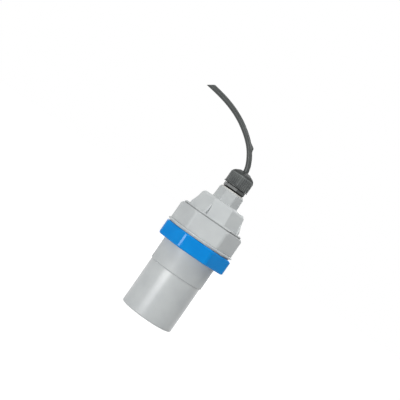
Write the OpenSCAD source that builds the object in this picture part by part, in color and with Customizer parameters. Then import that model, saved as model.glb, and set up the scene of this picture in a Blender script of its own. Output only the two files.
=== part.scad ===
// Ultrasonic level sensor: a transducer tube under a hexagonal body with a lock nut, a stepped cap,
// a cable gland and a cable. The origin is the centre of the radiating face and +Z runs to the cable.

/* [Transducer cup] */
// How far the tube is set in from the body's collar
cup_step = 0.9; // [0.5:0.1:3]
// Length of the tube below the body
cup_len = 49.5; // [40:0.5:70]
// Wall of the tube
cup_wall = 3; // [2:0.25:4]
// Thickness of the closed radiating face
face_t = 2.5; // [1.5:0.25:4]
// Rounding of the face's outer edge
face_round = 1.2; // [0.5:0.1:2]
// Length of the spigot that is glued into the body
spigot_len = 13; // [8:1:18]
// Wall of the spigot
spigot_wall = 2.4; // [1.5:0.1:3]

/* [Transducer] */
// Thickness of the acoustic matching layer
matching_t = 4; // [2:0.5:6]
// Width of the cork ring round the piezo ceramic disc
cork_w = 5.5; // [4.5:0.25:10]
// Thickness of the piezo ceramic disc
piezo_t = 8; // [4:0.5:12]
// Thickness of the sound-absorbing backing
backing_t = 8; // [4:1:12]
// Diameter of the temperature probe
probe_d = 3; // [2:0.25:3.5]
// Diameter of a lead of the piezo disc
lead_d = 1.6; // [1:0.1:2]
// Diameter of the temperature probe's twin lead
probe_lead_d = 1.4; // [1:0.1:1.6]

/* [Body] */
// Outside diameter of the mounting thread
thread_d = 60; // [54:0.5:70]
// How far the plain collar lies below the thread's crests
collar_undercut = 1.25; // [1.2:0.05:2]
// Length of the plain collar
collar_len = 24; // [15:1:30]
// Wall of the collar round the body's bore
body_wall = 3.75; // [3:0.25:5]
// How far the round flange stands out past the lock nut's flats
flange_rim = 0.25; // [0:0.05:2]
// Thickness of the round flange
flange_t = 1.8; // [1.2:0.1:4]
// Wall of the hexagon at the middle of a flat
hex_wall = 5.9; // [5:0.1:7]
// Height of the hexagon
hex_h = 19.3; // [15:0.1:25]
// Rounding of the hexagon's corners
hex_round = 4; // [2:0.5:6]

/* [Lock nut] */
// Wall of the octagonal lock nut at the middle of a flat
nut_wall = 6.25; // [5.5:0.25:10]
// Height of the lock nut
nut_h = 15.3; // [10:0.1:20]
// Turn of the lock nut about the axis, in degrees
nut_turn = 2; // [-22:0.5:22]
// Thickness of the flat gasket
gasket_t = 1.1; // [0.8:0.1:3]
// Width of the flat gasket
gasket_w = 3.8; // [2:0.1:5]

/* [Cap] */
// Height of the dark joint between body and cap
joint_h = 1; // [0.6:0.1:2]
// How far the cap's base plate is set in from the hexagon's flats
plate_inset = 1.3; // [0:0.1:2]
// Thickness of the base plate
plate_t = 1.4; // [1:0.1:3]
// How far the octagonal dome's foot is set in from the plate's flats
dome_inset = 2.8; // [1:0.1:4]
// How far the dome draws in from its foot to its shoulder
dome_draft = 3.7; // [1:0.1:5]
// Height of the dome
dome_h = 18.2; // [14:0.1:24]
// Rounding of the dome's shoulder
dome_round = 3.6; // [1:0.1:5]
// Wall of the octagonal neck at the middle of a flat
neck_wall = 3.6; // [3:0.1:5]
// Height of the neck
neck_h = 12.5; // [10:0.5:16]

/* [Cable gland] */
// Diameter of the gland's two threads
gland_thread_d = 20; // [19:0.5:21]
// Wall of the gland's cap nut at the middle of a flat
gland_nut_wall = 2; // [1.5:0.1:3]
// Height of the gland's hexagonal flange
gland_flange_h = 3.6; // [2:0.1:6]
// Wall of the flange round the gland's thread, at the middle of a flat
gland_flange_wall = 0.5; // [0.4:0.1:3]
// Turn of the flange about the axis, in degrees
gland_turn = -16.6; // [-30:0.2:30]
// Thickness of the sealing washer under the flange
washer_t = 2; // [0.8:0.1:3]
// Free height between the flange and the cap nut
gland_gap = 0.4; // [0.3:0.1:4]
// Height of the cap nut's straight part
gland_nut_h = 10.7; // [9:0.1:15]
// Height of the cap nut's dome
gland_dome_h = 6.4; // [5:0.1:8]

/* [Cable] */
// Diameter of the cable
cable_d = 5.6; // [5:0.1:6]
// Diameter of one insulated core
core_d = 1.5; // [1:0.1:1.6]

/* [Circuit board] */
// Room between the board's edges and the cap's spigot
board_gap = 2.95; // [1:0.05:5]
// Height of the board
board_h = 46; // [40:1:48]
// Thickness of the board
board_t = 1.6; // [1:0.2:2]

/* [Hidden] */

$fn = 96;
arc_fn = 32;
// Points on each rounded corner of a prism, less one
corner_steps = 4;
// Ball at the bend of a wire, against the wire's own radius
bend_ball = 1.15;
// Clearances: a glued or screwed fit, a running fit, and the gap under a piece that turns
fit = 0.05;
running = 0.1;
seat_gap = 0.1;
eps = 0.01;

plastic_grey = [0.76, 0.78, 0.78];
nut_blue = [0.11, 0.56, 0.85];
gland_grey = [0.3, 0.31, 0.31];
rubber_black = [0.08, 0.08, 0.08];
rubber_pale = [0.84, 0.84, 0.81];
cable_grey = [0.33, 0.34, 0.34];

// Widths that follow from the two threads
collar_d = thread_d - 2 * collar_undercut;
cup_d = collar_d - 2 * cup_step;
bore_d = collar_d - 2 * body_wall;
nut_af = thread_d + 2 * nut_wall;
flange_d = nut_af + 2 * flange_rim;
hex_af = bore_d + 2 * hex_wall;
plate_af = hex_af - 2 * plate_inset;
dome_foot_af = plate_af - 2 * dome_inset;
dome_top_af = dome_foot_af - 2 * dome_draft;
neck_af = gland_thread_d + 2 * neck_wall;
gland_af = gland_thread_d + 2 * gland_nut_wall;
gland_flange_af = gland_thread_d + 2 * gland_flange_wall;

// Heights of the joints, from the radiating face upwards
z_matching = face_t;
z_piezo = z_matching + matching_t;
z_backing = z_piezo + piezo_t;
z_potting = z_backing + backing_t;
z_body = cup_len;
z_spigot_top = z_body + spigot_len;
z_thread = z_body + collar_len;
z_nut = z_thread;
z_gasket = z_nut + nut_h + seat_gap;
z_flange = z_gasket + gasket_t + seat_gap;
z_hex = z_flange + flange_t;
z_hex_top = z_hex + hex_h;
z_plate = z_hex_top + joint_h;
z_dome = z_plate + plate_t;
z_neck = z_dome + dome_h;
z_neck_top = z_neck + neck_h;
z_gland_flange = z_neck_top + washer_t;
z_gland_collar = z_gland_flange + gland_flange_h;
z_gland_nut = z_gland_collar + gland_gap;
z_gland_dome = z_gland_nut + gland_nut_h;
z_gland_top = z_gland_dome + gland_dome_h;

// Radii inside the housing
cup_bore_r = cup_d / 2 - cup_wall;
spigot_r = bore_d / 2 - fit;
spigot_bore_r = spigot_r - spigot_wall;
fill_r = cup_bore_r - running;
piezo_d = 2 * (cup_bore_r - cork_w);

// The body's collar chamfer, and the lock nut's edges
collar_chamfer = 1;
nut_edge = 1.1;
nut_lead_in = 1;
nut_corner_round = 1.8;
nut_bore_r = thread_d / 2 + running;
gasket_clear = 0.3;
gasket_bore_r = thread_d / 2 + gasket_clear;

// The hexagon's bevels: along its lower edges, and across its upper corners
hex_bevel = 0.9;
hex_corner_drop = 2.7;
hex_corner_out = 2.6;
hex_corner_r = hex_af / 2 + hex_corner_out;
hex_corner_spread = 0.65;

// The cap: its spigot in the body, its walls, and the ribs on every other corner of the dome
cap_spigot_len = 9;
cap_wall = 3;
cap_bore_r = spigot_r - cap_wall;
joint_inset = 1;
plate_foot_edge = 0.3;
plate_top_edge = 0.4;
plate_corner_out = 1.4;
plate_corner_r = plate_af / 2 + plate_corner_out;
plate_corner_spread = 1.4;
dome_corner_round = 1.6;
dome_steps = 4;
rib_count = 4;
rib_h = 12;
rib_w = 2.6;
rib_nose = 1.6;
rib_root = 5;
rib_fade = 0.6;
dome_wall = 4.1;
neck_draft = 0.6;
neck_foot = 0.9;
neck_chamfer = 0.8;
neck_round = 1.2;
washer_r = (neck_af - neck_draft) / 2 - neck_chamfer;

// The seal between body and cap
o_ring_set = 2.3;
o_ring_r = bore_d / 2 + o_ring_set;
o_ring_d = 1.8;

// The gland: entry thread, counterbore for the clamp, seal and cap nut
gland_entry_len = 11;
gland_edge = 0.3;
gland_flange_round = 0.8;
gland_wall = 1.5;
clamp_r = gland_thread_d / 2 - gland_wall - running;
clamp_wall = 3;
clamp_bore_r = clamp_r - clamp_wall;
clamp_tip_wall = 0.8;
clamp_tip_r = clamp_bore_r + clamp_tip_wall;
clamp_play = 0.3;
clamp_slots = 8;
clamp_slot_w = 1.1;
clamp_slot_foot = 3;
clamp_ledge = 2.4;
gland_bore_r = clamp_r - clamp_ledge;
seal_r = clamp_bore_r - 2 * running;
seal_lip = 1.2;
seal_lip_r = cable_d / 2 + seal_lip;
gland_top_hole_r = seal_lip_r + 4 * running;
gland_top_rim = 1.1;
gland_top_af = 2 * (gland_top_hole_r + gland_top_rim);
gland_dome_start = 25;
gland_dome_end = 75;
gland_dome_steps = 6;
gland_nut_round = 1.6;
gland_lip_out = 1.1;
gland_lip_r = gland_af / 2 + gland_lip_out;
gland_lip_h = 1.4;
rib_rows = 5;
grip_rib_pitch = 1.9;
grip_rib_w = 0.9;
grip_rib_t = 0.5;
grip_rib_end = 0.6;
clamp_sink = 3.8;
clamp_rise = 1;
gland_tube_len = 7.3;
clamp_reach = 3.2;
seal_sink = 0.4;
z_clamp_seat = z_gland_collar - clamp_sink;
z_body_tube_top = z_gland_nut + gland_tube_len;
z_clamp_taper = z_body_tube_top + clamp_rise;
z_clamp_top = z_gland_dome + clamp_reach;
z_seal_top = z_gland_top - seal_sink;

// Where the pieces on the board stand
board_w = 2 * (cap_bore_r - board_gap);
board_slot = 4;
potting_rise = 8.5;
z_potting_top = z_body + potting_rise;
z_board = z_potting_top - board_slot;
z_board_top = z_board + board_h;
board_face = board_t / 2;
transformer_w = 15;
transformer_t = 11;
transformer_h = 13;
transformer_edge = 3.5;
transformer_foot = 7.5;
transformer = [transformer_w, transformer_t, transformer_h];
transformer_at = [transformer_edge + transformer_w / 2 - board_w / 2,
                  z_board + transformer_foot + transformer_h / 2];
core_out = 1.5;
core_t = 8;
core_h = 5;
core_frame = [transformer_w + 2 * core_out, core_t, core_h];
capacitor_d = 10;
capacitor_h = 16;
capacitor_gap = 4;
capacitor_foot = 4;
capacitor_at = [transformer_at[0] + core_frame[0] / 2 + capacitor_gap + capacitor_d / 2,
                z_board + capacitor_foot + capacitor_h / 2];
chip_w = 11;
chip_t = 1.8;
chip_edge = 7.5;
chip_drop = 7.5;
chip = [chip_w, chip_t, chip_w];
chip_at = [chip_edge + chip_w / 2 - board_w / 2, z_board_top - chip_drop - chip_w / 2];
socket_w = 16;
socket_t = 5;
socket_h = 7;
socket_foot = 5.5;
socket = [socket_w, socket_t, socket_h];
socket_at = [0, z_board + socket_foot + socket_h / 2];
terminal_pitch = 5;
terminal_end = 3;
terminal_t = 8;
terminal_h = 10;
terminal_drop = 5;
terminal = [3 * terminal_pitch + 2 * terminal_end, terminal_t, terminal_h];
terminal_at = [0, z_board_top - terminal_drop - terminal_h / 2];
terminal_screw_d = 3;
terminal_screw_h = 2;
socket_row_y = board_face + socket[1] / 2;
terminal_row_y = board_face + terminal[1] / 2;
z_socket_foot = socket_at[1] - socket[2] / 2;
z_terminal_top = terminal_at[1] + terminal[2] / 2;

// Leads from the piezo disc and the temperature probe to the socket on the board
piezo_lead_x = 3.2;
probe_r = (piezo_d / 2 + cup_bore_r) / 2;
probe_len = 6;
probe_lead_rise = 12;
probe_lead_slant = 8;
z_probe_bend = z_potting + probe_lead_rise;
function piezo_lead(side) = [[side * piezo_lead_x, socket_row_y, z_backing],
                             [side * piezo_lead_x, socket_row_y, z_socket_foot]];
probe_route = [[0, probe_r, z_piezo + probe_len], [0, probe_r, z_probe_bend],
               [0, socket_row_y, z_probe_bend + probe_lead_slant], [0, socket_row_y, z_socket_foot]];

// Cable inside the sensor: jacket down to the cap's hollow, then four cores to the terminals
tail_drop = 6;
z_tail = z_neck - tail_drop;
core_ring_r = 1.45;
core_straight = 2;
core_plug = 3;
// Quarter of the cable that each core comes from, so that no two cross on the way to the terminals
core_quarter = [2, 1, 0, 3];
function core_route(i) =
    let (a = 45 + 90 * core_quarter[i])
    [[core_ring_r * cos(a), core_ring_r * sin(a), z_tail],
     [core_ring_r * cos(a), core_ring_r * sin(a), z_tail - core_straight],
     [(i - 1.5) * terminal_pitch, terminal_row_y, z_terminal_top + core_plug],
     [(i - 1.5) * terminal_pitch, terminal_row_y, z_terminal_top]];

// Free stretch of the cable, from the gland's top to its cut end, as [x, z] beside the axis
cable_start = z_seal_top;
cable_route = [[0, cable_start], [-0.4, 170.2], [-1.6, 174.2], [-3.6, 178.4], [-6.3, 183], [-9.7, 187.9],
               [-14, 192.5], [-19, 196.8], [-25, 201.1], [-31, 204.9], [-38, 208.4], [-46, 211.6],
               [-55, 214.2], [-65, 216.3], [-75.5, 217.8]];
cable_sides = 12;

// Points of one ring of a regular prism with round corners and one flat facing -Y
function ngon_ring(n, af, round, z) =
    let (half = 180 / n, corner_r = (af / 2 - round) / cos(half))
    [for (i = [0:n - 1], k = [0:corner_steps])
        let (c = -90 + (i + 0.5) * 2 * half, a = c + (2 * k / corner_steps - 1) * half)
        [corner_r * cos(c) + round * cos(a), corner_r * sin(c) + round * sin(a), z]];

// A closed skin over rings that have the same number of points
module skin(rings) {
    m = len(rings[0]);
    last = len(rings) - 1;
    sides = [for (j = [0:last - 1], i = [0:m - 1]) let (k = (i + 1) % m)
        [j * m + i, (j + 1) * m + i, (j + 1) * m + k, j * m + k]];
    foot = [for (i = [0:m - 1]) i];
    top = [for (i = [m - 1:-1:0]) last * m + i];
    polyhedron(points = [for (ring = rings) each ring], faces = concat([foot], sides, [top]));
}

// A prism through levels of [height, width across flats]
module stepped_prism(n, levels, round) {
    skin([for (level = levels) ngon_ring(n, level[1], round, level[0])]);
}

// A tube between two heights
module tube(outer_r, inner_r, z0, z1) {
    translate([0, 0, z0]) difference() {
        cylinder(r = outer_r, h = z1 - z0);
        translate([0, 0, -1]) cylinder(r = inner_r, h = z1 - z0 + 2);
    }
}

// A disc between two heights
module disc(r, z0, z1) {
    translate([0, 0, z0]) cylinder(r = r, h = z1 - z0);
}

// A round wire through the points of a route, with a ball at each bend
module wire(route, r) {
    for (i = [0:len(route) - 2]) {
        run = route[i + 1] - route[i];
        translate(route[i])
            rotate([0, acos(run[2] / norm(run)), atan2(run[1], run[0])])
                cylinder(r = r, h = norm(run), $fn = arc_fn);
    }
    if (len(route) > 2)
        for (i = [1:len(route) - 2]) translate(route[i]) sphere(r = bend_ball * r, $fn = arc_fn);
}

// A box that stands on the board's front (side -1) or back (side 1)
module on_board(size, at, side) {
    y = side > 0 ? board_face : -board_face - size[1];
    translate([at[0] - size[0] / 2, y, at[1] - size[2] / 2]) cube(size);
}

module all_leads(extra) {
    for (side = [-1, 1]) wire(piezo_lead(side), lead_d / 2 + extra);
    wire(probe_route, probe_lead_d / 2 + extra);
}

module transducer_cup() {
    color(plastic_grey) difference() {
        union() {
            rotate_extrude() union() {
                translate([0, face_round]) square([cup_d / 2, cup_len - face_round]);
                square([cup_d / 2 - face_round, cup_len]);
                translate([cup_d / 2 - face_round, face_round]) circle(r = face_round, $fn = arc_fn);
            }
            disc(spigot_r, cup_len - eps, z_spigot_top);
        }
        disc(cup_bore_r, face_t, cup_len);
        disc(spigot_bore_r, cup_len - eps, z_spigot_top + 1);
    }
}

module matching_layer() {
    color([0.55, 0.62, 0.5]) disc(fill_r, z_matching, z_piezo);
}

module piezo_disc() {
    color([0.85, 0.8, 0.68]) disc(piezo_d / 2, z_piezo, z_backing);
}

module decoupling_ring() {
    color([0.55, 0.4, 0.25]) difference() {
        tube(fill_r, piezo_d / 2 + running, z_piezo, z_backing);
        translate([0, probe_r, z_piezo - 1])
            cylinder(d = probe_d + 2 * running, h = piezo_t + 2, $fn = arc_fn);
    }
}

module backing_absorber() {
    color([0.2, 0.2, 0.22]) difference() {
        disc(fill_r, z_backing, z_potting);
        all_leads(running);
    }
}

module temperature_probe() {
    color("silver") translate([0, probe_r, z_piezo]) cylinder(d = probe_d, h = probe_len, $fn = arc_fn);
}

module piezo_leads() {
    color("firebrick") for (side = [-1, 1]) wire(piezo_lead(side), lead_d / 2);
}

module probe_lead() {
    color("gold") wire(probe_route, probe_lead_d / 2);
}

module potting() {
    color([0.12, 0.12, 0.13]) difference() {
        union() {
            disc(fill_r, z_potting, z_body - running);
            disc(spigot_bore_r - running, z_potting, z_potting_top);
        }
        all_leads(running);
        translate([-board_w / 2 - running, -board_face - running, z_board])
            cube([board_w + 2 * running, board_t + 2 * running, board_h]);
    }
}

module threaded_body() {
    color(plastic_grey) difference() {
        union() {
            translate([0, 0, z_body])
                cylinder(r1 = collar_d / 2 - collar_chamfer, r2 = collar_d / 2, h = collar_chamfer);
            disc(collar_d / 2, z_body + collar_chamfer, z_thread + eps);
            disc(thread_d / 2, z_thread, z_flange + eps);
            disc(flange_d / 2, z_flange, z_hex);
            intersection() {
                stepped_prism(6, [[z_hex - eps, hex_af - 2 * hex_bevel], [z_hex + hex_bevel, hex_af],
                                  [z_hex_top, hex_af]], hex_round);
                corner_cone(z_hex - 1, z_hex_top, hex_corner_drop, hex_corner_r, hex_corner_spread);
            }
        }
        disc(bore_d / 2, z_body - 1, z_hex_top + 1);
        o_ring_groove();
    }
}

// The room under a cone that takes off the upper corners of a hexagon
module corner_cone(low, top, drop, r, spread) {
    disc(flange_d, low, top - drop);
    translate([0, 0, top - drop - eps]) cylinder(r1 = r + spread * drop, r2 = r, h = drop + eps);
}

module o_ring_groove() {
    w = o_ring_d + 2 * running;
    tube(o_ring_r + w / 2, o_ring_r - w / 2, z_hex_top - o_ring_d - running, z_hex_top + 1);
}

module lock_nut() {
    top = z_nut + nut_h;
    edge_af = nut_af - 2 * nut_edge;
    color(nut_blue) difference() {
        rotate(nut_turn)
            stepped_prism(8, [[z_nut, edge_af], [z_nut + nut_edge, nut_af], [top - nut_edge, nut_af],
                              [top, edge_af]], nut_corner_round);
        disc(nut_bore_r, z_nut - 1, top + 1);
        translate([0, 0, z_nut - eps])
            cylinder(r1 = nut_bore_r + nut_lead_in, r2 = nut_bore_r, h = nut_lead_in);
    }
}

module gasket() {
    color(rubber_pale) tube(gasket_bore_r + gasket_w, gasket_bore_r, z_gasket, z_gasket + gasket_t);
}

module circuit_board() {
    color("darkgreen") translate([-board_w / 2, -board_face, z_board]) cube([board_w, board_t, board_h]);
}

module pulse_transformer() {
    color("goldenrod") difference() {
        on_board(transformer, transformer_at, -1);
        transformer_core_shape(running);
    }
}

// The ferrite core runs across the bobbin and stands out on both sides of it
module transformer_core_shape(extra) {
    size = core_frame + 2 * extra * [1, 1, 1];
    translate([transformer_at[0] - size[0] / 2, -board_face - transformer[1] / 2 - size[1] / 2,
               transformer_at[1] - size[2] / 2]) cube(size);
}

module transformer_core() {
    color([0.2, 0.2, 0.2]) transformer_core_shape(0);
}

module storage_capacitor() {
    color("midnightblue")
        translate([capacitor_at[0], -board_face - capacitor_d / 2, capacitor_at[1] - capacitor_h / 2])
            cylinder(d = capacitor_d, h = capacitor_h);
}

module controller_chip() {
    color([0.1, 0.1, 0.1]) on_board(chip, chip_at, -1);
}

module lead_socket() {
    color("white") on_board(socket, socket_at, 1);
}

module terminal_block() {
    color("seagreen") difference() {
        on_board(terminal, terminal_at, 1);
        terminal_screw_shapes(running);
    }
}

module terminal_screw_shapes(extra) {
    for (i = [0:3])
        translate([(i - 1.5) * terminal_pitch, board_face + terminal_t - terminal_screw_h, terminal_at[1]])
            rotate([-90, 0, 0])
                cylinder(d = terminal_screw_d + 2 * extra, h = terminal_screw_h, $fn = arc_fn);
}

module terminal_screws() {
    color("silver") terminal_screw_shapes(0);
}

module cap_o_ring() {
    color(rubber_black) translate([0, 0, z_hex_top - o_ring_d / 2 - running / 2])
        rotate_extrude() translate([o_ring_r, 0]) circle(d = o_ring_d, $fn = arc_fn);
}

// Widths of the dome: a straight draft, then a quarter round at its shoulder
function dome_levels() =
    let (slope = (dome_foot_af - dome_top_af) / dome_h, shoulder = z_neck - dome_round,
         shoulder_af = dome_top_af + slope * dome_round)
    concat([[z_dome - eps, dome_foot_af]],
           [for (k = [0:dome_steps]) let (a = 90 * k / dome_steps)
               [shoulder + dome_round * sin(a), shoulder_af - 2 * dome_round * (1 - cos(a))]]);

// A thin rib that stands on the plate against one corner of the dome and fades out up its side
module dome_rib() {
    corner_foot = dome_foot_af / 2 / cos(22.5);
    draft = (dome_foot_af - dome_top_af) / 2 / dome_h / cos(22.5);
    foot = z_dome - eps;
    side = [[corner_foot - rib_root, foot], [corner_foot + rib_nose, foot],
            [corner_foot - draft * rib_h - rib_fade, z_dome + rib_h]];
    translate([0, rib_w / 2, 0]) rotate([90, 0, 0]) linear_extrude(rib_w) polygon(side);
}

module top_cap() {
    plate_top = plate_af - 2 * plate_top_edge;
    color(plastic_grey) difference() {
        union() {
            tube(spigot_r, cap_bore_r, z_hex_top - cap_spigot_len, z_hex_top + eps);
            stepped_prism(6, [[z_hex_top, plate_af - 2 * joint_inset],
                              [z_plate + eps, plate_af - 2 * joint_inset]], hex_round);
            intersection() {
                stepped_prism(6, [[z_plate, plate_af - 2 * plate_foot_edge],
                                  [z_plate + plate_foot_edge, plate_af],
                                  [z_dome - plate_top_edge, plate_af], [z_dome, plate_top]], hex_round);
                corner_cone(z_plate - 1, z_dome, plate_t, plate_corner_r, plate_corner_spread);
            }
            stepped_prism(8, dome_levels(), dome_corner_round);
            intersection() {
                for (i = [0:rib_count - 1]) rotate(-22.5 + 360 / rib_count * i) dome_rib();
                stepped_prism(6, [[z_plate, plate_top], [z_neck, plate_top]], hex_round);
            }
            stepped_prism(8, [[z_neck - eps, neck_af + 2 * neck_foot], [z_neck + neck_foot, neck_af],
                              [z_neck_top - neck_chamfer, neck_af - neck_draft],
                              [z_neck_top, neck_af - neck_draft - 2 * neck_chamfer]], neck_round);
        }
        cap_hollow();
    }
}

// The hollow above the board and the threaded hole for the gland
module cap_hollow() {
    disc(cap_bore_r, z_hex_top - 1, z_dome);
    translate([0, 0, z_dome - eps])
        cylinder(r1 = cap_bore_r, r2 = dome_top_af / 2 - dome_wall, h = dome_h - cap_wall);
    disc(gland_thread_d / 2, z_neck - cap_wall - 1, z_neck_top + 1);
}

module gland_washer() {
    color(rubber_pale) tube(washer_r, gland_thread_d / 2, z_neck_top, z_gland_flange);
}

module gland_body() {
    color(gland_grey) difference() {
        union() {
            disc(gland_thread_d / 2 - fit, z_neck_top - gland_entry_len, z_gland_flange + eps);
            rotate(gland_turn)
                stepped_prism(6, [[z_gland_flange, gland_flange_af - 2 * gland_edge],
                                  [z_gland_flange + gland_edge, gland_flange_af],
                                  [z_gland_collar - gland_edge, gland_flange_af],
                                  [z_gland_collar, gland_flange_af - 2 * gland_edge]], gland_flange_round);
            disc(gland_thread_d / 2, z_gland_collar - eps, z_body_tube_top);
        }
        disc(gland_bore_r, z_neck_top - gland_entry_len - 1, z_clamp_seat + 1);
        disc(clamp_r + running, z_clamp_seat, z_body_tube_top + 1);
    }
}

module gland_seal() {
    color(rubber_black) difference() {
        union() {
            disc(seal_r, z_clamp_seat, z_clamp_top - 1);
            disc(seal_lip_r, z_clamp_seat, z_seal_top);
        }
        disc(cable_d / 2 + fit, z_clamp_seat - 1, z_gland_top + 1);
    }
}

// The clamp's ring of fingers round the seal, tapered to the cap nut's cone
module clamp_insert() {
    color([0.22, 0.22, 0.22]) difference() {
        union() {
            disc(clamp_r, z_clamp_seat + seat_gap, z_clamp_taper);
            translate([0, 0, z_clamp_taper - eps])
                cylinder(r1 = clamp_r, r2 = clamp_tip_r, h = z_clamp_top - z_clamp_taper + eps);
        }
        disc(clamp_bore_r, z_clamp_seat - 1, z_clamp_top + 1);
        for (i = [0:clamp_slots - 1]) rotate(360 / clamp_slots * i)
            translate([0, -clamp_slot_w / 2, z_body_tube_top - clamp_slot_foot])
                cube([clamp_r + 1, clamp_slot_w, gland_nut_h + gland_dome_h]);
    }
}

// Widths of the cap nut's dome, an arc that leaves the flats at a slant and ends at its flat top
function gland_dome_levels() =
    let (low = gland_dome_start, high = gland_dome_end)
    [for (k = [0:gland_dome_steps]) let (a = low + (high - low) * k / gland_dome_steps)
        [z_gland_dome + gland_dome_h * (sin(a) - sin(low)) / (sin(high) - sin(low)),
         gland_af - (gland_af - gland_top_af) * (cos(low) - cos(a)) / (cos(low) - cos(high))]];

module gland_cap_nut() {
    color(gland_grey) difference() {
        union() {
            disc(gland_lip_r, z_gland_nut, z_gland_nut + gland_lip_h);
            rotate(30) stepped_prism(6, concat([[z_gland_nut + gland_lip_h - eps, gland_af]],
                                               gland_dome_levels()), gland_nut_round);
            for (i = [0:5]) rotate(60 * i) grip_ribs();
        }
        disc(gland_thread_d / 2 + running, z_gland_nut - 1, z_clamp_taper);
        translate([0, 0, z_clamp_taper - eps])
            cylinder(r1 = gland_thread_d / 2 + running, r2 = clamp_tip_r + clamp_play,
                     h = z_clamp_top - z_clamp_taper);
        disc(clamp_tip_r + clamp_play, z_clamp_top - 2 * eps, z_clamp_top + clamp_play + running);
        disc(gland_top_hole_r, z_clamp_top - 1, z_gland_top + 1);
    }
}

// Upright grip ribs on one flat of the cap nut
module grip_ribs() {
    for (k = [0:rib_rows - 1])
        translate([gland_af / 2 - 1, (k - (rib_rows - 1) / 2) * grip_rib_pitch - grip_rib_w / 2,
                   z_gland_nut + gland_lip_h])
            cube([1 + grip_rib_t, grip_rib_w, gland_nut_h - gland_lip_h - grip_rib_end]);
}

module cable_tail() {
    color(cable_grey) disc(cable_d / 2, z_tail, cable_start);
}

module core(i) {
    wire(core_route(i), core_d / 2);
}

module core_brown() {
    color("saddlebrown") core(0);
}

module core_blue() {
    color("royalblue") core(1);
}

module core_black() {
    color([0.1, 0.1, 0.1]) core(2);
}

module core_white() {
    color("whitesmoke") core(3);
}

// One ring of the cable at a point of its route, square to the run of its neighbours
function cable_ring(i) =
    let (last = len(cable_route) - 1, p = cable_route[i],
         d = i == 0 ? [0, 1] : cable_route[min(i + 1, last)] - cable_route[i - 1],
         t = d / norm(d))
    [for (k = [0:cable_sides - 1]) let (a = 360 * k / cable_sides, r = cable_d / 2)
        [p[0] + r * cos(a) * t[1], r * sin(a), p[1] - r * cos(a) * t[0]]];

module cable() {
    color(cable_grey) skin([for (i = [0:len(cable_route) - 1]) cable_ring(i)]);
}

transducer_cup();
matching_layer();
piezo_disc();
decoupling_ring();
backing_absorber();
temperature_probe();
piezo_leads();
probe_lead();
potting();
threaded_body();
lock_nut();
gasket();
circuit_board();
pulse_transformer();
transformer_core();
storage_capacitor();
controller_chip();
lead_socket();
terminal_block();
terminal_screws();
cap_o_ring();
top_cap();
gland_washer();
gland_body();
gland_seal();
clamp_insert();
gland_cap_nut();
cable_tail();
core_brown();
core_blue();
core_black();
core_white();
cable();
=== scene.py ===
import math

import bmesh
import bpy
from mathutils import Matrix, Vector


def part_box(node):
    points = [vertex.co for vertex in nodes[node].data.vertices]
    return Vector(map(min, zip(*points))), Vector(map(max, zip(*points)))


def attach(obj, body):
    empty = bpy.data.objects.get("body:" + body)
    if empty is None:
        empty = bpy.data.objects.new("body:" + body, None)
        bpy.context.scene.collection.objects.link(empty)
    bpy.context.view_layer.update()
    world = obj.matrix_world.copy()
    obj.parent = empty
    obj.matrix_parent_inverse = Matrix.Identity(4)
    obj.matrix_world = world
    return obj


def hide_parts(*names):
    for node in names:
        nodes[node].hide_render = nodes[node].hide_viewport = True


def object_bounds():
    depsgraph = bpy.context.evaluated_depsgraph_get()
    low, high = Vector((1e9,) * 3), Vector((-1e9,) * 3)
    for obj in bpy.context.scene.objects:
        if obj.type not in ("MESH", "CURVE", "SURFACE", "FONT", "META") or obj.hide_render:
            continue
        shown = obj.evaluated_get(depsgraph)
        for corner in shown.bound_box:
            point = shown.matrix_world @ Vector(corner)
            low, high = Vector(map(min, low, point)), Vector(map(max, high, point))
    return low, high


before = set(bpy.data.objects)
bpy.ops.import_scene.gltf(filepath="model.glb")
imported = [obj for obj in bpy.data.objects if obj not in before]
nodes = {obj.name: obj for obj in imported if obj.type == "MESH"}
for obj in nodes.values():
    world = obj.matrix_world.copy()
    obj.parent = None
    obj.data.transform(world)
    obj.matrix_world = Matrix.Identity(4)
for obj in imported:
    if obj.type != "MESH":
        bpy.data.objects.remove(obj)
cad_low, cad_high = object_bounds()


# Transducer tube: the cup whose flat lower face sends and hears the pulses. It is injection moulded in
# light grey plastic with a satin skin, and its spigot is glued up into the bore of the body.
MM = 0.001
tube_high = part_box("transducer_cup")[1]
body_low, body_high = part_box("threaded_body")
tube_radius = tube_high.x
tube_top = body_low.z
tube_wall = 3 * MM
tube_bore = tube_radius - tube_wall
face_thickness = 2.5 * MM
face_round = 1.2 * MM
spigot_radius = 24.95 * MM
spigot_wall = 2.4 * MM
spigot_bore = spigot_radius - spigot_wall
small_round = 0.3 * MM
turning_steps = 144
weld = 0.002 * MM


def rounded(outline, steps=5):
    """The closed outline of (radius, height, rounding) corners, with an arc at each rounded corner."""
    points = []
    for i, (radius, height, rounding) in enumerate(outline):
        corner = Vector((radius, height))
        if not rounding:
            points.append(corner)
            continue
        before = (Vector(outline[i - 1][:2]) - corner).normalized()
        after = (Vector(outline[(i + 1) % len(outline)][:2]) - corner).normalized()
        half = before.angle(after) / 2
        centre = corner + (before + after).normalized() * rounding / math.sin(half)
        start = corner + before * rounding / math.tan(half) - centre
        sweep = start.angle_signed(corner + after * rounding / math.tan(half) - centre)
        points += [centre + Matrix.Rotation(-sweep * k / steps, 2) @ start for k in range(steps + 1)]
    return points


def select_where(piece, kind, wanted):
    """In edit mode, selects the faces, edges or vertices for which wanted() is true."""
    bpy.ops.mesh.select_mode(type={"faces": "FACE", "edges": "EDGE", "verts": "VERT"}[kind])
    bpy.ops.mesh.select_all(action="DESELECT")
    mesh = bmesh.from_edit_mesh(piece.data)
    for part in getattr(mesh, kind):
        if wanted(part):
            part.select_set(True)
    mesh.select_flush_mode()
    bmesh.update_edit_mesh(piece.data)


def pick(piece):
    bpy.ops.object.select_all(action="DESELECT")
    piece.select_set(True)
    bpy.context.view_layer.objects.active = piece


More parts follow.
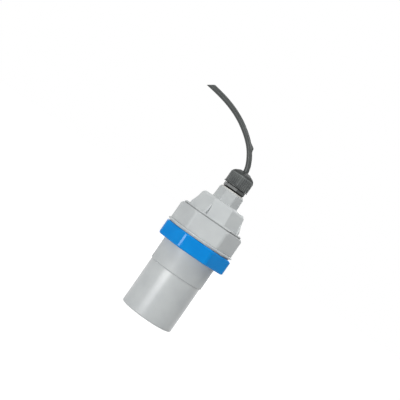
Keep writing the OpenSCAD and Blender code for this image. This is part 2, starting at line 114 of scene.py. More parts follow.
def turned(name, outline):
    """A piece turned round the upright axis from a closed outline of (radius, height, rounding)."""
    points = rounded(outline)
    bpy.ops.object.select_all(action="DESELECT")
    bpy.ops.mesh.primitive_circle_add(vertices=len(points), fill_type="NOTHING", enter_editmode=True)
    piece = bpy.context.object
    piece.name = name
    mesh = bmesh.from_edit_mesh(piece.data)
    for vertex, (radius, height) in zip(mesh.verts, points):
        vertex.co = (radius, 0, height)
    bmesh.update_edit_mesh(piece.data)
    bpy.ops.mesh.select_all(action="SELECT")
    bpy.ops.mesh.spin(steps=turning_steps, angle=2 * math.pi, center=(0, 0, 0), axis=(0, 0, 1))
    bpy.ops.mesh.select_all(action="SELECT")
    bpy.ops.mesh.remove_doubles(threshold=weld)
    bpy.ops.mesh.delete_loose()
    bpy.ops.mesh.select_all(action="SELECT")
    bpy.ops.mesh.normals_make_consistent(inside=False)
    bpy.ops.object.mode_set(mode="OBJECT")
    return piece


def smooth(piece, angle=35):
    """Smooth shading up to an angle, with the wide faces kept flat."""
    pick(piece)
    bpy.ops.object.shade_smooth_by_angle(angle=math.radians(angle))
    weights = piece.modifiers.new("flat_faces", "WEIGHTED_NORMAL")
    weights.keep_sharp = True
    bpy.ops.object.modifier_apply(modifier=weights.name)


def tint(red, green, blue):
    """A colour as a monitor shows it, 0 to 255, as the scene's own linear values."""
    parts = [c / 255 for c in (red, green, blue)]
    return [c / 12.92 if c <= 0.04045 else ((c + 0.055) / 1.055) ** 2.4 for c in parts] + [1]


def grain_group():
    """Texture of a moulded or cast skin: fine grain as height, cloudy colour and patchy gloss."""
    group = bpy.data.node_groups.new("skin_grain", "ShaderNodeTree")
    for label, start in (("Grain", 2600), ("Cloud", 45), ("Patch", 130)):
        scale = group.interface.new_socket(label, in_out="INPUT", socket_type="NodeSocketFloat")
        scale.default_value = start
    for label in ("Height", "Cloudiness", "Patchiness"):
        group.interface.new_socket(label, in_out="OUTPUT", socket_type="NodeSocketFloat")
    add, link = group.nodes.new, group.links.new
    ends = add("NodeGroupInput"), add("NodeGroupOutput")
    place = add("ShaderNodeTexCoord")
    layers = (("Grain", "Height", 2), ("Cloud", "Cloudiness", 5), ("Patch", "Patchiness", 6))
    for source, target, detail in layers:
        noise = add("ShaderNodeTexNoise")
        noise.inputs["Detail"].default_value = detail
        link(place.outputs["Object"], noise.inputs["Vector"])
        link(ends[0].outputs[source], noise.inputs["Scale"])
        link(noise.outputs["Fac"], ends[1].inputs[target])
    return group


def band_group():
    """A colour made lighter or darker between two heights, with a soft change at both."""
    group = bpy.data.node_groups.new("tone_band", "ShaderNodeTree")
    group.interface.new_socket("Color", in_out="INPUT", socket_type="NodeSocketColor")
    for label in ("Low", "High", "Soft", "Tone"):
        group.interface.new_socket(label, in_out="INPUT", socket_type="NodeSocketFloat")
    group.interface.new_socket("Color", in_out="OUTPUT", socket_type="NodeSocketColor")
    add, link = group.nodes.new, group.links.new
    ends = add("NodeGroupInput"), add("NodeGroupOutput")
    place, split = add("ShaderNodeTexCoord"), add("ShaderNodeSeparateXYZ")
    link(place.outputs["Object"], split.inputs[0])
    masks = []
    for edge, shift in (("Low", "SUBTRACT"), ("High", "ADD")):
        far, ramp = add("ShaderNodeMath"), add("ShaderNodeMapRange")
        far.operation = shift
        link(ends[0].outputs[edge], far.inputs[0])
        link(ends[0].outputs["Soft"], far.inputs[1])
        link(split.outputs["Z"], ramp.inputs["Value"])
        link(far.outputs[0], ramp.inputs["From Min"])
        link(ends[0].outputs[edge], ramp.inputs["From Max"])
        masks.append(ramp.outputs["Result"])
    both, tone = add("ShaderNodeMath"), add("ShaderNodeMapRange")
    both.operation = "MULTIPLY"
    link(masks[0], both.inputs[0])
    link(masks[1], both.inputs[1])
    link(both.outputs[0], tone.inputs["Value"])
    tone.inputs["To Min"].default_value = 1
    link(ends[0].outputs["Tone"], tone.inputs["To Max"])
    scale = add("ShaderNodeVectorMath")
    scale.operation = "SCALE"
    link(ends[0].outputs["Color"], scale.inputs[0])
    link(tone.outputs["Result"], scale.inputs["Scale"])
    link(scale.outputs[0], ends[1].inputs["Color"])
    return group


def edge_highlight_group():
    """A colour made lighter along edges: a painted highlight on the rounded edges of a moulding."""
    on_flat, on_edge = 0.99, 0.9
    group = bpy.data.node_groups.new("edge_highlight", "ShaderNodeTree")
    group.interface.new_socket("Color", in_out="INPUT", socket_type="NodeSocketColor")
    for label in ("Width", "Tone"):
        group.interface.new_socket(label, in_out="INPUT", socket_type="NodeSocketFloat")
    group.interface.new_socket("Color", in_out="OUTPUT", socket_type="NodeSocketColor")
    add, link = group.nodes.new, group.links.new
    ends = add("NodeGroupInput"), add("NodeGroupOutput")
    rounding, surface = add("ShaderNodeBevel"), add("ShaderNodeNewGeometry")
    rounding.samples = 8
    link(ends[0].outputs["Width"], rounding.inputs["Radius"])
    agree = add("ShaderNodeVectorMath")
    agree.operation = "DOT_PRODUCT"
    link(rounding.outputs["Normal"], agree.inputs[0])
    link(surface.outputs["Normal"], agree.inputs[1])
    tone = add("ShaderNodeMapRange")
    tone.inputs["From Min"].default_value, tone.inputs["From Max"].default_value = on_flat, on_edge
    tone.inputs["To Min"].default_value = 1
    link(agree.outputs["Value"], tone.inputs["Value"])
    link(ends[0].outputs["Tone"], tone.inputs["To Max"])
    scale = add("ShaderNodeVectorMath")
    scale.operation = "SCALE"
    link(ends[0].outputs["Color"], scale.inputs[0])
    link(tone.outputs["Result"], scale.inputs["Scale"])
    link(scale.outputs[0], ends[1].inputs["Color"])
    return group


skin_grain = grain_group()
tone_band = band_group()
edge_highlight = edge_highlight_group()


def skin(name, dark, light, gloss, grain=2600, cloud=45, bump=0.06, metal=0, mirror=0.5,
         bands=(), edge_light=None):
    """A finish that drifts between two colours, with patchy gloss, fine grain, bands of painted shade and
    highlight, and a painted highlight along its edges.

    A band is its low and high height, its softness and its tone, and the last argument is the width and
    tone of the painted edge highlight."""
    cloud_range, patch_range, grain_height = (0.35, 0.65), (0.3, 0.7), 0.2 * MM
    finish = bpy.data.materials.new(name)
    finish.use_nodes = True
    tree = finish.node_tree
    add, link = tree.nodes.new, tree.links.new
    shader = tree.nodes["Principled BSDF"]
    shader.inputs["Metallic"].default_value = metal
    shader.inputs["Specular IOR Level"].default_value = mirror
    texture = add("ShaderNodeGroup")
    texture.node_tree = skin_grain
    texture.inputs["Grain"].default_value = grain
    texture.inputs["Cloud"].default_value = cloud
    tones = add("ShaderNodeValToRGB")
    for end, position, shade in zip(tones.color_ramp.elements, cloud_range, (dark, light)):
        end.position, end.color = position, tint(*shade)
    link(texture.outputs["Cloudiness"], tones.inputs["Fac"])
    colour = tones.outputs["Color"]
    for values in bands:
        band = add("ShaderNodeGroup")
        band.node_tree = tone_band
        for label, value in zip(("Low", "High", "Soft", "Tone"), values):
            band.inputs[label].default_value = value
        link(colour, band.inputs["Color"])
        colour = band.outputs["Color"]
    # Painted highlight: the colour is made lighter along the edges.
    if edge_light:
        edges = add("ShaderNodeGroup")
        edges.node_tree = edge_highlight
        edges.inputs["Width"].default_value, edges.inputs["Tone"].default_value = edge_light
        link(colour, edges.inputs["Color"])
        colour = edges.outputs["Color"]
    link(colour, shader.inputs["Base Color"])
    gloss_range = add("ShaderNodeMapRange")
    for label, value in zip(("From Min", "From Max", "To Min", "To Max"), (*patch_range, *gloss)):
        gloss_range.inputs[label].default_value = value
    link(texture.outputs["Patchiness"], gloss_range.inputs["Value"])
    link(gloss_range.outputs["Result"], shader.inputs["Roughness"])
    relief = add("ShaderNodeBump")
    relief.inputs["Strength"].default_value = bump
    relief.inputs["Distance"].default_value = grain_height
    link(texture.outputs["Height"], relief.inputs["Height"])
    link(relief.outputs["Normal"], shader.inputs["Normal"])
    return finish


def dress(piece, finish):
    piece.data.materials.clear()
    piece.data.materials.append(finish)


tube_plastic = skin("tube_plastic", (185, 189, 190), (194, 198, 198), (0.28, 0.34),
                    bump=0.02, mirror=0.8)
transducer_tube = turned("transducer_tube", [
    (0, 0, 0), (tube_radius, 0, face_round), (tube_radius, tube_top, small_round),
    (spigot_radius, tube_top, 0), (spigot_radius, tube_high.z, small_round),
    (spigot_bore, tube_high.z, small_round), (spigot_bore, tube_top, 0), (tube_bore, tube_top, 0),
    (tube_bore, face_thickness, face_round), (0, face_thickness, 0)])
smooth(transducer_tube)
dress(transducer_tube, tube_plastic)
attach(transducer_tube, "housing")
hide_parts("transducer_cup")


# Transducer stack: glass-filled epoxy matching layer, silvered piezo disc in a cork ring, and a foam
# absorber behind them. They are discs bonded to each other on the inside of the radiating face.
dress(nodes["matching_layer"], skin("matching_epoxy", (122, 138, 112), (150, 165, 138), (0.5, 0.7),
                                    grain=3500, cloud=900))
dress(nodes["piezo_disc"], skin("silvered_ceramic", (196, 190, 172), (226, 222, 208), (0.25, 0.4),
                                grain=1800, cloud=220, metal=0.8))
dress(nodes["decoupling_ring"], skin("cork", (112, 74, 42), (176, 128, 82), (0.75, 0.9),
                                     grain=900, cloud=650, bump=0.4))
dress(nodes["backing_absorber"], skin("absorber_foam", (38, 38, 42), (62, 62, 66), (0.85, 0.95),
                                      grain=1300, cloud=800, bump=0.6))


# Temperature probe and leads: a plated steel bead in the cork ring, a yellow twin lead from it and two
# red leads from the piezo disc, all soft PVC insulation, pushed into the socket on the board.
plated_steel = skin("plated_steel", (176, 178, 180), (206, 208, 210), (0.22, 0.34),
                    grain=4000, cloud=300, bump=0.04, metal=1)


def wire_skin(name, dark, light):
    return skin(name, dark, light, (0.38, 0.5), grain=5000, cloud=240, bump=0.05)


dress(nodes["temperature_probe"], plated_steel)
dress(nodes["piezo_leads"], wire_skin("red_wire", (158, 28, 24), (186, 42, 36)))
dress(nodes["probe_lead"], wire_skin("yellow_wire", (206, 168, 34), (226, 190, 56)))


# Potting: the black resin that seals the stack and holds the foot of the board. It is poured into the
# tube as a liquid and sets hard with a glossy top.
dress(nodes["potting"], skin("potting_resin", (18, 18, 20), (30, 30, 32), (0.16, 0.3),
                             grain=700, cloud=60, bump=0.05))


# Circuit board: green glass laminate that stands in the potting, with the parts soldered to it: a pulse
# transformer on a taped bobbin, a storage capacitor, a controller chip, a lead socket and terminals.
dress(nodes["circuit_board"], skin("board_laminate", (12, 74, 40), (24, 98, 54), (0.3, 0.42),
                                   grain=2400, cloud=700, bump=0.08))
dress(nodes["pulse_transformer"], skin("bobbin_tape", (206, 158, 44), (226, 182, 70), (0.3, 0.45),
                                       grain=1500, cloud=380))
dress(nodes["transformer_core"], skin("ferrite", (42, 42, 44), (60, 60, 62), (0.55, 0.7),
                                      grain=3000, cloud=500, bump=0.1))
dress(nodes["storage_capacitor"], skin("capacitor_sleeve", (20, 24, 58), (32, 38, 78), (0.25, 0.35),
                                       grain=2000, cloud=90))
dress(nodes["controller_chip"], skin("chip_resin", (24, 24, 24), (36, 36, 36), (0.5, 0.65),
                                     grain=4200, cloud=400, bump=0.1))
dress(nodes["lead_socket"], skin("socket_nylon", (224, 222, 210), (240, 238, 228), (0.4, 0.5)))
dress(nodes["terminal_block"], skin("terminal_nylon", (34, 116, 74), (50, 138, 92), (0.38, 0.5)))
dress(nodes["terminal_screws"], plated_steel)


# Body: plain collar, mounting thread, thin round flange and hexagon, one moulding in the tube's grey
# plastic. The thread is moulded with it and runs up to the flange.
gasket_gap = 0.1 * MM
flange_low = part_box("gasket")[1].z + gasket_gap
flange_thickness = 1.8 * MM
flange_fillet = 0.4 * MM
hexagon_low = flange_low + flange_thickness
hexagon_top = body_high.z
joint_height = 1 * MM
neck_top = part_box("gland_washer")[0].z
neck_height = 12.5 * MM
neck_low = neck_top - neck_height
thread_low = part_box("lock_nut")[0].z
thread_crest = 30 * MM
thread_root = 28.8 * MM
thread_pitch = 2 * MM
collar_radius = 28.75 * MM
collar_chamfer = 1 * MM
flange_radius = 36.5 * MM
body_bore = 25 * MM
hexagon_width = 61.8 * MM
hexagon_round = 4 * MM
hexagon_bevel = 0.4 * MM
corner_drop = 2.7 * MM
corner_reach = 2.6 * MM
corner_radius = hexagon_width / 2 + corner_reach
corner_spread = 0.65
overlap = 0.01 * MM
cut_margin = 1 * MM


def stacked(name, sides, levels, rounding, turn=0, corner_steps=5):
    """A prism drawn up through (height, width across flats) levels, with its upright corners rounded."""
    reach = 0.5 / math.cos(math.pi / sides)
    height, width = levels[0]
    bpy.ops.object.select_all(action="DESELECT")
    bpy.ops.mesh.primitive_circle_add(vertices=sides, radius=width * reach, fill_type="NGON",
                                      location=(0, 0, height), rotation=(0, 0, math.pi / sides + turn))
    piece = bpy.context.object
    piece.name = name
    bpy.ops.object.transform_apply(location=True, rotation=True, scale=True)
    bpy.ops.object.mode_set(mode="EDIT")
    bpy.ops.mesh.select_all(action="SELECT")
    for next_height, next_width in levels[1:]:
        bpy.ops.mesh.extrude_region_move(TRANSFORM_OT_translate={"value": (0, 0, next_height - height)})
        ratio = next_width / width
        bpy.ops.transform.resize(value=(ratio, ratio, 1), center_override=(0, 0, next_height))
        height, width = next_height, next_width
    bpy.ops.mesh.select_all(action="SELECT")
    bpy.ops.mesh.normals_make_consistent(inside=False)
    ring = math.pi * 2 / sides

    def upright(edge):
        a, b = edge.verts[0].co, edge.verts[1].co
        between = Vector((a.x, a.y)).angle(Vector((b.x, b.y)))
        return between < ring / 4

    if rounding:
        select_where(piece, "edges", upright)
        bpy.ops.mesh.bevel(offset=rounding * math.tan(math.pi / sides), offset_type="OFFSET",
                           segments=corner_steps, affect="EDGES", profile=0.5)
    bpy.ops.object.mode_set(mode="OBJECT")
    return piece


def combine(piece, other, how):
    """Unites, cuts or trims a piece with another one, which is used up."""
    pick(piece)
    step = piece.modifiers.new("combine", "BOOLEAN")
    step.operation, step.object, step.solver = how, other, "EXACT"
    bpy.ops.object.modifier_apply(modifier=step.name)
    bpy.data.objects.remove(other)
    bpy.ops.object.mode_set(mode="EDIT")
    bpy.ops.mesh.select_all(action="SELECT")
    bpy.ops.mesh.remove_doubles(threshold=weld)
    bpy.ops.mesh.dissolve_degenerate(threshold=weld)
    bpy.ops.object.mode_set(mode="OBJECT")


def soften(piece, width, steps=2, angle=28):
    """Takes the sharpness off the edges, as a mould does."""
    pick(piece)
    edges = piece.modifiers.new("soft_edges", "BEVEL")
    edges.width, edges.segments = width, steps
    edges.limit_method, edges.angle_limit = "ANGLE", math.radians(angle)
    edges.use_clamp_overlap = True
    bpy.ops.object.modifier_apply(modifier=edges.name)


def thread(name, root, crest, pitch, low, high):
    """A screw thread's ridge that winds up between two heights and runs out at its ends."""
    foot, nose, sink = 0.43 * pitch, 0.07 * pitch, 0.4 * MM
    turn_steps, run_out, end_room = 96, 24, 0.9
    sunk = root - math.copysign(sink, crest - root)
    turns = int((high - low) / pitch - end_room)
    bpy.ops.object.select_all(action="DESELECT")
    bpy.ops.mesh.primitive_circle_add(vertices=4, fill_type="NOTHING", enter_editmode=True)
    ridge = bpy.context.object
    ridge.name = name
    section = [(sunk, -foot), (crest, -nose), (crest, nose), (sunk, foot)]
    mesh = bmesh.from_edit_mesh(ridge.data)
    for vertex, (radius, height) in zip(mesh.verts, section):
        vertex.co = (radius, 0, low + pitch / 2 + height)
    bmesh.update_edit_mesh(ridge.data)
    bpy.ops.object.mode_set(mode="OBJECT")
    winding = ridge.modifiers.new("winding", "SCREW")
    winding.axis, winding.angle, winding.screw_offset = "Z", 2 * math.pi, pitch
    winding.iterations, winding.steps, winding.render_steps = turns, turn_steps, turn_steps
    bpy.ops.object.modifier_apply(modifier=winding.name)
    last = len(ridge.data.vertices) // len(section) - 1
    for i, vertex in enumerate(ridge.data.vertices):
        station = i // len(section)
        share = min(1, min(station, last - station) / run_out)
        radius = vertex.co.xy.length
        vertex.co.xy *= (sunk + (radius - sunk) * share) / radius
    bpy.ops.object.mode_set(mode="EDIT")
    bpy.ops.mesh.select_all(action="SELECT")
    bpy.ops.mesh.fill_holes(sides=len(section))
    bpy.ops.mesh.select_all(action="SELECT")
    bpy.ops.mesh.normals_make_consistent(inside=False)
    bpy.ops.object.mode_set(mode="OBJECT")
    return ridge


def join(piece, *others):
    pick(piece)
    for other in others:
        other.select_set(True)
    bpy.ops.object.join()


body = turned("threaded_body_shell", [
    (body_bore, tube_top, small_round), (collar_radius - collar_chamfer, tube_top, small_round),
    (collar_radius, tube_top + collar_chamfer, small_round), (collar_radius, thread_low, 0),
    (thread_root, thread_low, 0), (thread_root, flange_low, flange_fillet),
    (flange_radius, flange_low, small_round), (flange_radius, hexagon_low, 2 * small_round),
    (body_bore, hexagon_low, 0)])
hexagon = stacked("hexagon", 6, [(hexagon_low - overlap, hexagon_width - 2 * hexagon_bevel),
                                 (hexagon_low + hexagon_bevel, hexagon_width),
                                 (hexagon_top - hexagon_bevel, hexagon_width),
                                 (hexagon_top, hexagon_width - 2 * hexagon_bevel)], hexagon_round)
combine(hexagon, turned("corner_cone", [
    (0, hexagon_low - cut_margin, 0), (flange_radius + cut_margin, hexagon_low - cut_margin, 0),
    (flange_radius + cut_margin, hexagon_top - corner_drop - cut_margin, 0),
    (corner_radius + corner_spread * corner_drop, hexagon_top - corner_drop, 0),
    (corner_radius, hexagon_top, 0), (0, hexagon_top, 0)]), "INTERSECT")
combine(hexagon, turned("bore", [
    (0, hexagon_low - cut_margin, 0), (body_bore, hexagon_low - cut_margin, 0),
    (body_bore, hexagon_top + cut_margin, 0), (0, hexagon_top + cut_margin, 0)]), "DIFFERENCE")
body_thread = thread("body_thread", thread_root, thread_crest, thread_pitch, thread_low, flange_low)
join(body, hexagon, body_thread)
smooth(body, angle=22)
band_soft = 0.1 * MM
neck_soft = 1 * MM
# Painted shade: the collar is darkened in the colour where the lock nut shades it.
collar_shade = (tube_top, thread_low, band_soft, 0.95)
# Painted shade: the recessed joint between the hexagon and the cap's plate is darkened in the colour.
joint_shade = (hexagon_top - band_soft, hexagon_top + joint_height, band_soft, 0.6)
# Painted shade: the cap's neck under the gland is darkened in the colour.
neck_shade = (neck_low + neck_soft, neck_top - neck_soft, neck_soft, 0.86)
# The grey plastic also gets a painted highlight along its edges.
grey_plastic = skin("grey_plastic", (191, 195, 196), (200, 204, 204), (0.44, 0.52), bump=0.02,
                    bands=(collar_shade, joint_shade, neck_shade), edge_light=(0.7 * MM, 1.14))
dress(body, grey_plastic)
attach(body, "housing")
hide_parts("threaded_body")


# Lock nut: the octagonal nut that clamps a tank wall against the flange, moulded in glossy blue nylon
# with rounded corners and a threaded bore. It is screwed up the body's thread by hand.
nut_low, nut_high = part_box("lock_nut")
nut_width = 72.5 * MM
nut_edge = 1.1 * MM
nut_round = 3.2 * MM
nut_turn = math.radians(2)
nut_soft = 0.3 * MM
thread_play = 0.1 * MM
nut_bore = thread_crest + thread_play
nut_crest = 28.95 * MM
nut_lead_in = 1 * MM
nut_levels = [(nut_low.z, nut_width - 2 * nut_edge), (nut_low.z + nut_edge, nut_width),
              (nut_high.z - nut_edge, nut_width), (nut_high.z, nut_width - 2 * nut_edge)]
lock_nut = stacked("blue_lock_nut", 8, nut_levels, nut_round, nut_turn, corner_steps=1)
combine(lock_nut, turned("nut_bore", [
    (0, nut_low.z - cut_margin, 0), (nut_bore + 2 * nut_lead_in, nut_low.z - cut_margin, 0),
    (nut_bore, nut_low.z + nut_lead_in, 0), (nut_bore, nut_high.z - nut_lead_in / 2, 0),
    (nut_bore + 1.5 * nut_lead_in, nut_high.z + cut_margin, 0),
    (0, nut_high.z + cut_margin, 0)]), "DIFFERENCE")
soften(lock_nut, nut_soft, steps=3, angle=15)
nut_thread = thread("nut_thread", nut_bore, nut_crest, thread_pitch,
                    nut_low.z + thread_pitch / 2, nut_high.z)
join(lock_nut, nut_thread)
smooth(lock_nut)
blue_plastic = skin("blue_plastic", (6, 137, 220), (10, 145, 227), (0.18, 0.19),
                    grain=2200, cloud=60, bump=0.002, mirror=0.1)
dress(lock_nut, blue_plastic)
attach(lock_nut, "clamp_nut")
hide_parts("lock_nut")


# Gasket: the flat ring that seals the tank wall, die-cut from pale rubber sheet. It lies loose on the
# lock nut, under the flange.
gasket_low, gasket_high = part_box("gasket")
gasket_play = 0.3 * MM
gasket_bore = thread_crest + gasket_play
gasket_round = 0.25 * MM
pale_rubber = skin("pale_rubber", (205, 205, 200), (218, 218, 212), (0.6, 0.75),
                   grain=3200, cloud=160, bump=0.1)
gasket = turned("flat_gasket", [
    (gasket_bore, gasket_low.z, gasket_round), (gasket_high.x, gasket_low.z, gasket_round),
    (gasket_high.x, gasket_high.z, gasket_round), (gasket_bore, gasket_high.z, gasket_round)])
smooth(gasket)
dress(gasket, pale_rubber)
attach(gasket, "loose_gasket")
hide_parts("gasket")


# O-ring: a moulded ring of black rubber, round in section, that seals the cap on the body. It lies in
# a groove in the hexagon's top.
black_rubber = skin("black_rubber", (24, 24, 25), (38, 38, 39), (0.62, 0.8),
                    grain=3200, cloud=160, bump=0.12)
dress(nodes["cap_o_ring"], black_rubber)


# Cap: thin hexagonal plate, tapered octagonal dome with a rib on every other corner, and octagonal neck,
# one moulding in the body's grey plastic. Its spigot is screwed and sealed into the body.
cap_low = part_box("top_cap")[0]
plate_low = hexagon_top + joint_height
plate_thickness = 1.4 * MM
dome_low = plate_low + plate_thickness
plate_width = 59.2 * MM
joint_inset = 1 * MM
plate_bevel = 0.3 * MM
plate_corner_reach = 1.4 * MM
plate_corner = plate_width / 2 + plate_corner_reach
plate_corner_spread = 1.4
dome_foot = 53.6 * MM
dome_shoulder = 46.8 * MM
dome_round = 4.4 * MM
dome_corner = 1.6 * MM
neck_width = 27.2 * MM
neck_draft = 0.6 * MM
neck_fillet = 1.2 * MM
neck_chamfer = 0.8 * MM
neck_corner = 1.2 * MM
gland_hole = 10 * MM
cap_bore = 21.95 * MM
dome_bore = 19 * MM
dome_wall = 3 * MM
rib_height = 12 * MM
rib_width = 2.6 * MM
rib_nose = 1.6 * MM
rib_root = 5 * MM
rib_fade = 0.6 * MM
rib_count = 4
relief_width = 1.8 * MM
relief_end = 0.3 * MM
relief_depth = 2.6 * MM
arc_steps = 6
quarter_steps = [math.pi / 2 * k / arc_steps for k in range(arc_steps + 1)]
dome_slope = (dome_foot - dome_shoulder) / (neck_low - dome_low)
shoulder_width = dome_shoulder + dome_slope * dome_round
rib_corner = dome_foot / 2 / math.cos(math.pi / 8)
rib_tip = rib_corner - dome_slope / 2 / math.cos(math.pi / 8) * rib_height - rib_fade
dome_levels = [(dome_low - overlap, dome_foot)]
dome_levels += [(neck_low - dome_round * (1 - math.sin(a)),
                 shoulder_width - 2 * dome_round * (1 - math.cos(a))) for a in quarter_steps]
neck_levels = [(neck_low - overlap, neck_width + 2 * neck_fillet)]
neck_levels += [(neck_low + neck_fillet * (1 - math.cos(a)),
                 neck_width + 2 * neck_fillet * (1 - math.sin(a))) for a in quarter_steps]
neck_levels += [(neck_top - neck_chamfer, neck_width - neck_draft),
                (neck_top, neck_width - neck_draft - 2 * neck_chamfer)]


def corner_rib():
    """A thin gusset that stands on the plate against one corner of the dome and fades out up its side."""
    side = [(rib_corner - rib_root, dome_low - overlap), (rib_corner + rib_nose, dome_low - overlap),
            (rib_tip, dome_low + rib_height)]
    bpy.ops.object.select_all(action="DESELECT")
    bpy.ops.mesh.primitive_circle_add(vertices=len(side), fill_type="NGON", enter_editmode=True)
    rib = bpy.context.object
    rib.name = "corner_rib"
    mesh = bmesh.from_edit_mesh(rib.data)
    for vertex, (x, z) in zip(mesh.verts, side):
        vertex.co = (x, -rib_width / 2, z)
    bmesh.update_edit_mesh(rib.data)
    bpy.ops.mesh.select_all(action="SELECT")
    bpy.ops.mesh.extrude_region_move(TRANSFORM_OT_translate={"value": (0, rib_width, 0)})
    bpy.ops.mesh.select_all(action="SELECT")
    bpy.ops.mesh.normals_make_consistent(inside=False)

    def outer(edge):
        return edge.calc_length() > rib_height and max(v.co.x for v in edge.verts) > rib_corner

    select_where(rib, "edges", outer)
    bpy.ops.mesh.bevel(offset=rib_width / 4, segments=3, affect="EDGES")
    bpy.ops.object.mode_set(mode="OBJECT")
    return rib


def rib_relief(side):
    """The wedge of plastic that is left out along one side of a rib, wide and deep at its foot."""
    bpy.ops.object.select_all(action="DESELECT")
    bpy.ops.mesh.primitive_cube_add(size=1, enter_editmode=True)
    relief = bpy.context.object
    relief.name = "rib_relief"
    mesh = bmesh.from_edit_mesh(relief.data)
    for vertex in mesh.verts:
        x, y, z = vertex.co
        inner, reach, height = rib_corner - relief_depth, rib_width / 2 + relief_width, dome_low + overlap
        if z > 0:
            inner, reach, height = rib_tip, rib_width / 2 + relief_end, dome_low + rib_height
        vertex.co = (inner if x < 0 else rib_corner + relief_depth, side * reach if y > 0 else 0, height)
    bmesh.update_edit_mesh(relief.data)
    bpy.ops.mesh.select_all(action="SELECT")
    bpy.ops.mesh.normals_make_consistent(inside=False)
    bpy.ops.object.mode_set(mode="OBJECT")
    return relief


cap = stacked("cap_moulding", 6, [(hexagon_top, plate_width - 2 * joint_inset),
                                  (plate_low, plate_width - 2 * joint_inset), (plate_low, plate_width),
                                  (dome_low - plate_bevel, plate_width),
                                  (dome_low, plate_width - 2 * plate_bevel)], hexagon_round)
combine(cap, turned("plate_cone", [
    (0, hexagon_top - cut_margin, 0), (flange_radius, hexagon_top - cut_margin, 0),
    (flange_radius, plate_low - overlap, 0),
    (plate_corner + plate_corner_spread * (dome_low - plate_low), plate_low, 0),
    (plate_corner, dome_low, 0), (0, dome_low, 0)]), "INTERSECT")
combine(cap, stacked("dome", 8, dome_levels, dome_corner), "UNION")
trim_inset = 0.5 * MM
trim_width = plate_width - 2 * trim_inset
ribs = []
for k in range(rib_count):
    place = Matrix.Rotation(-math.pi / 8 + 2 * math.pi / rib_count * k, 4, "Z")
    relief = rib_relief((-1, 1)[k % 2])
    relief.data.transform(place)
    combine(cap, relief, "DIFFERENCE")
    rib = corner_rib()
    rib.data.transform(place)
    trim = stacked("rib_trim", 6, [(plate_low, trim_width), (neck_low, trim_width)], hexagon_round)
    combine(rib, trim, "INTERSECT")
    ribs.append(rib)
combine(cap, stacked("neck", 8, neck_levels, neck_corner), "UNION")
combine(cap, turned("cap_hollow", [
    (0, cap_low.z - cut_margin, 0), (cap_bore, cap_low.z - cut_margin, 0), (cap_bore, dome_low, 0),
    (dome_bore, neck_low - dome_wall, 0), (gland_hole, neck_low - dome_wall, 0),
    (gland_hole, neck_top + cut_margin, 0), (0, neck_top + cut_margin, 0)]), "DIFFERENCE")
cap_spigot = turned("cap_spigot", [
    (cap_bore, cap_low.z, small_round), (spigot_radius, cap_low.z, small_round),
    (spigot_radius, hexagon_top, 0), (cap_bore, hexagon_top, 0)])
join(cap, cap_spigot, *ribs)
smooth(cap, angle=22)
dress(cap, grey_plastic)
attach(cap, "housing")
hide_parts("top_cap")


# Gland washer: a flat ring of pale rubber, 2 mm thick, that the gland squeezes on the neck. The flange
# sinks halfway into it.
washer_low, washer_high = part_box("gland_washer")
washer_squeeze = 1 * MM
washer_top = washer_high.z - washer_squeeze
washer = turned("sealing_washer", [
    (gland_hole, washer_low.z, gasket_round), (washer_high.x, washer_low.z, gasket_round),
    (washer_high.x, washer_top, gasket_round), (gland_hole, washer_top, gasket_round)])
smooth(washer)
dress(washer, pale_rubber)
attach(washer, "housing")
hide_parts("gland_washer")


# Gland body: hexagonal flange with a thread below for the neck and one above for the cap nut, moulded in
# dark grey nylon. It is screwed into the neck and locked with glue.
gland_low, gland_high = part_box("gland_body")
gland_flange = washer_top
flange_height = 3.6 * MM
gland_collar = washer_high.z + flange_height
gland_nut_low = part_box("gland_cap_nut")[0].z
gland_width = 21 * MM
gland_turn = math.radians(-16.6)
gland_edge = 0.3 * MM
gland_soft = 0.15 * MM
foot_taper = 1.1 * MM
foot_inset = 0.1 * MM
foot_radius = gland_width / 2 - foot_taper - foot_inset
foot_height = 1.6 * MM
gland_corner = 0.8 * MM
gland_bore = 6 * MM
clamp_bore = 8.5 * MM
clamp_depth = 3.8 * MM
clamp_seat = gland_collar - clamp_depth
gland_crest = 10 * MM
entry_fit = 0.05 * MM
entry_radius = gland_crest - entry_fit
gland_root = 9.1 * MM
gland_pitch = 1.5 * MM
gland_dark, gland_light = (85, 88, 88), (101, 104, 103)
gland_edge_light = (0.4 * MM, 1.3)
# Painted shade: the gland's flange under the cap nut is darkened in the colour; the gland's edges get a
# painted highlight.
flange_shade = (gland_flange, gland_collar + 0.2 * MM, band_soft, 0.75)
# Painted shadow: the flange's foot, just above the washer, is made nearly black in the colour.
flange_foot_shade = (gland_flange, gland_flange + foot_height, 0.3 * MM, 0.1)
gland_nylon = skin("gland_nylon", gland_dark, gland_light, (0.28, 0.4), cloud=110, mirror=0.4,
                   bands=(flange_shade, flange_foot_shade), edge_light=gland_edge_light)
gland_body = turned("gland_body_shell", [
    (gland_bore, gland_low.z, small_round), (entry_radius, gland_low.z, small_round),
    (entry_radius, gland_flange - overlap, 0), (foot_radius, gland_flange, 0),
    (foot_radius, gland_flange + foot_height, 0), (gland_crest, gland_collar, 0),
    (gland_crest, gland_nut_low - gland_pitch / 4, small_round), (gland_root, gland_nut_low, 0),
    (gland_root, gland_high.z, small_round), (clamp_bore, gland_high.z, small_round),
    (clamp_bore, clamp_seat, 0), (gland_bore, clamp_seat, 0)])
flange_levels = [(gland_flange, gland_width - 2 * foot_taper), (gland_flange + foot_height, gland_width),
                 (gland_collar - gland_edge, gland_width), (gland_collar, gland_width - 2 * gland_edge)]
flange = stacked("gland_flange", 6, flange_levels, gland_corner, gland_turn)
combine(flange, turned("flange_bore", [
    (0, gland_flange - cut_margin, 0), (clamp_bore, gland_flange - cut_margin, 0),
    (clamp_bore, gland_collar + cut_margin, 0), (0, gland_collar + cut_margin, 0)]), "DIFFERENCE")
soften(flange, gland_soft)
